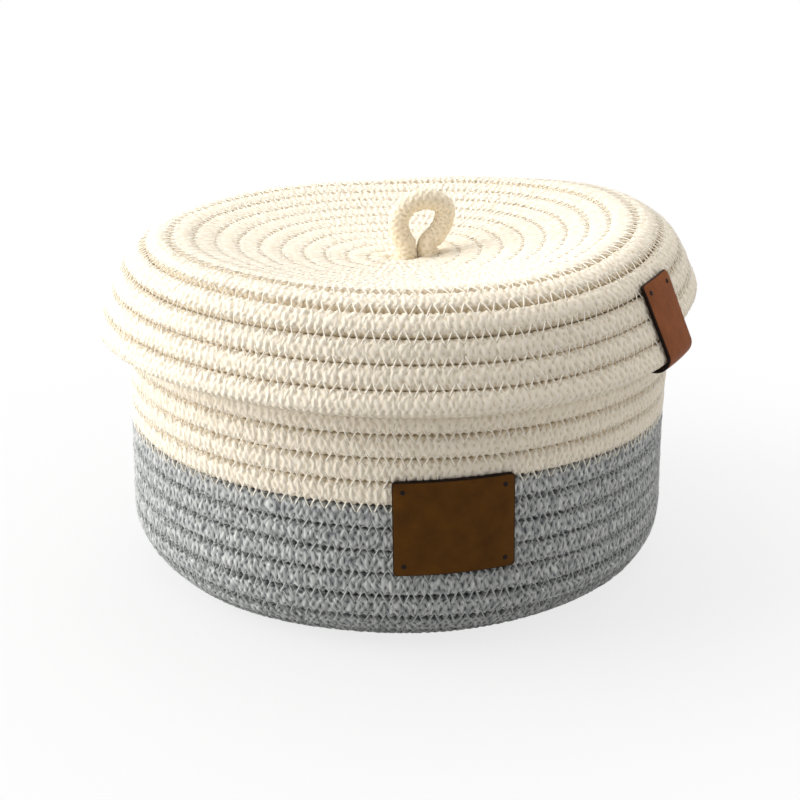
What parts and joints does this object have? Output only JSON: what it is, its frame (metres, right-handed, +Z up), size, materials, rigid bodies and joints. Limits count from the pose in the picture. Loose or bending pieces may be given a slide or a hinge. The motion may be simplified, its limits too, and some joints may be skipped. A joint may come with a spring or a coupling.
{
  "type": "lidded basket",
  "caption": "Round coiled rope basket with a wide overhanging lift-off lid, a rope pull loop on top, a leather patch on the front and a folded leather tag on the lid's edge.",
  "frame": {"origin": "centre of the round basket's flat underside", "axes": "+Z up, -Y towards the front where the leather patch is, +X to the right seen from the front"},
  "size_m": [0.1886, 0.1903, 0.1177],
  "materials": {
    "cream_cotton": "matte braided cotton",
    "grey_cotton": "matte braided cotton",
    "patch_leather": "satin vegetable-tanned leather",
    "tag_leather": "satin vegetable-tanned leather",
    "dark_thread": "waxed thread"
  },
  "bodies": {
    "basket": {"grey_rope": "grey_cotton", "cream_rope": "cream_cotton", "front_patch": "patch_leather", "patch_stitch_1": "dark_thread", "patch_stitch_2": "dark_thread", "patch_stitch_3": "dark_thread", "patch_stitch_4": "dark_thread"},
    "lid": {"lid_rope": "cream_cotton", "loop_foot": "cream_cotton", "tag": "tag_leather", "tag_stitch_1": "dark_thread", "tag_stitch_2": "dark_thread"},
    "loop": {"pull_loop": "cream_cotton"}
  },
  "joints": [
    {"name": "lid_lift", "type": "slide", "parent": "basket", "child": "lid", "axis": [0, 0, 1], "range_m": [0, 0.06]},
    {"name": "loop_tilt", "type": "hinge", "parent": "lid", "child": "loop", "pos_m": [0.00587, 0.00125, 0.10029], "axis": [0.9781, 0.2079, 0], "range_deg": [-50, 50], "stiffness_Nm_per_rad": 0.01}
  ]
}
